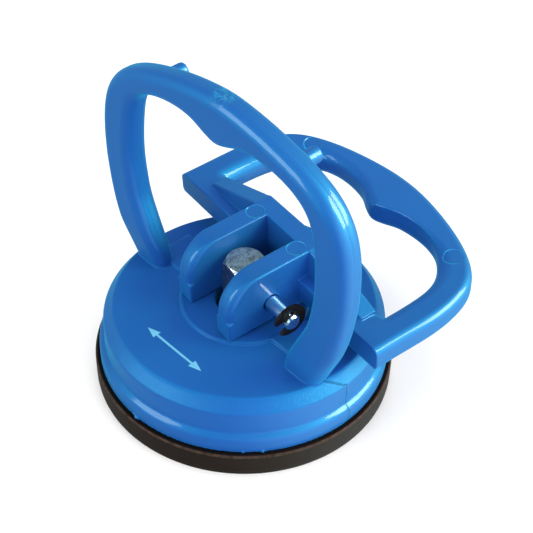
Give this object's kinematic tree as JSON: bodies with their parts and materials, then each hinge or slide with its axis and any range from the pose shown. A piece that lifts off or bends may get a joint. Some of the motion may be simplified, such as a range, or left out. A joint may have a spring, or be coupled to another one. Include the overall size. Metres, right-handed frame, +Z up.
{
  "type": "vacuum suction cup",
  "caption": "Small hand suction cup: round housing with a fixed arch handle, a lever loop whose cam legs lift a hexagonal stud, and a rubber pad that grips smooth flat surfaces.",
  "frame": {"origin": "centre of the pad's sealing face, on the surface the cup stands on", "axes": "+Z up along the stud, X along the fixed arch handle, +Y towards the side where the open lever lies"},
  "size_m": [0.0614, 0.0663, 0.0622],
  "materials": {
    "housing_plastic": "semi-gloss moulded blue plastic, fine matt texture on the shoulder",
    "lever_plastic": "semi-gloss moulded blue plastic",
    "zinc_steel": "zinc plated, grainy",
    "bright_steel": "bright turned steel",
    "black_steel": "black oxide spring steel",
    "insert_steel": "plain steel pressing",
    "pad_rubber": "moulded black-brown rubber"
  },
  "bodies": {
    "housing": {"housing_with_arch_handle": "housing_plastic"},
    "pad": {"rubber_pad": "pad_rubber"},
    "stud": {"hex_stud": "zinc_steel", "pad_insert_plate": "insert_steel"},
    "lever": {"lever_handle": "lever_plastic"},
    "pin": {"cross_pin": "bright_steel", "pin_clips": "black_steel"}
  },
  "joints": [
    {"name": "pad_swivel", "type": "hinge", "parent": "housing", "child": "pad", "pos_m": [0, 0, 0.0047], "axis": [0, 0, 1], "range_deg": [-0.5, 8]},
    {"name": "stud_lift", "type": "slide", "parent": "pad", "child": "stud", "axis": [0, 0, 1], "range_m": [-0.00021, 0.00443]},
    {"name": "lever_swing", "type": "hinge", "parent": "stud", "child": "lever", "pos_m": [0, 0, 0.02105], "axis": [0.9911, -0.1331, 0], "range_deg": [-3.9, 82.1]},
    {"name": "pin_float", "type": "slide", "parent": "stud", "child": "pin", "axis": [0.9911, -0.1331, 0], "range_m": [-0.00485, 0]}
  ],
  "couplings": [
    {"joint": "lever_swing", "follows": "stud_lift", "rad_per_m": 323.42},
    {"joint": "pad_swivel", "follows": "stud_lift", "rad_per_m": 30.136}
  ]
}
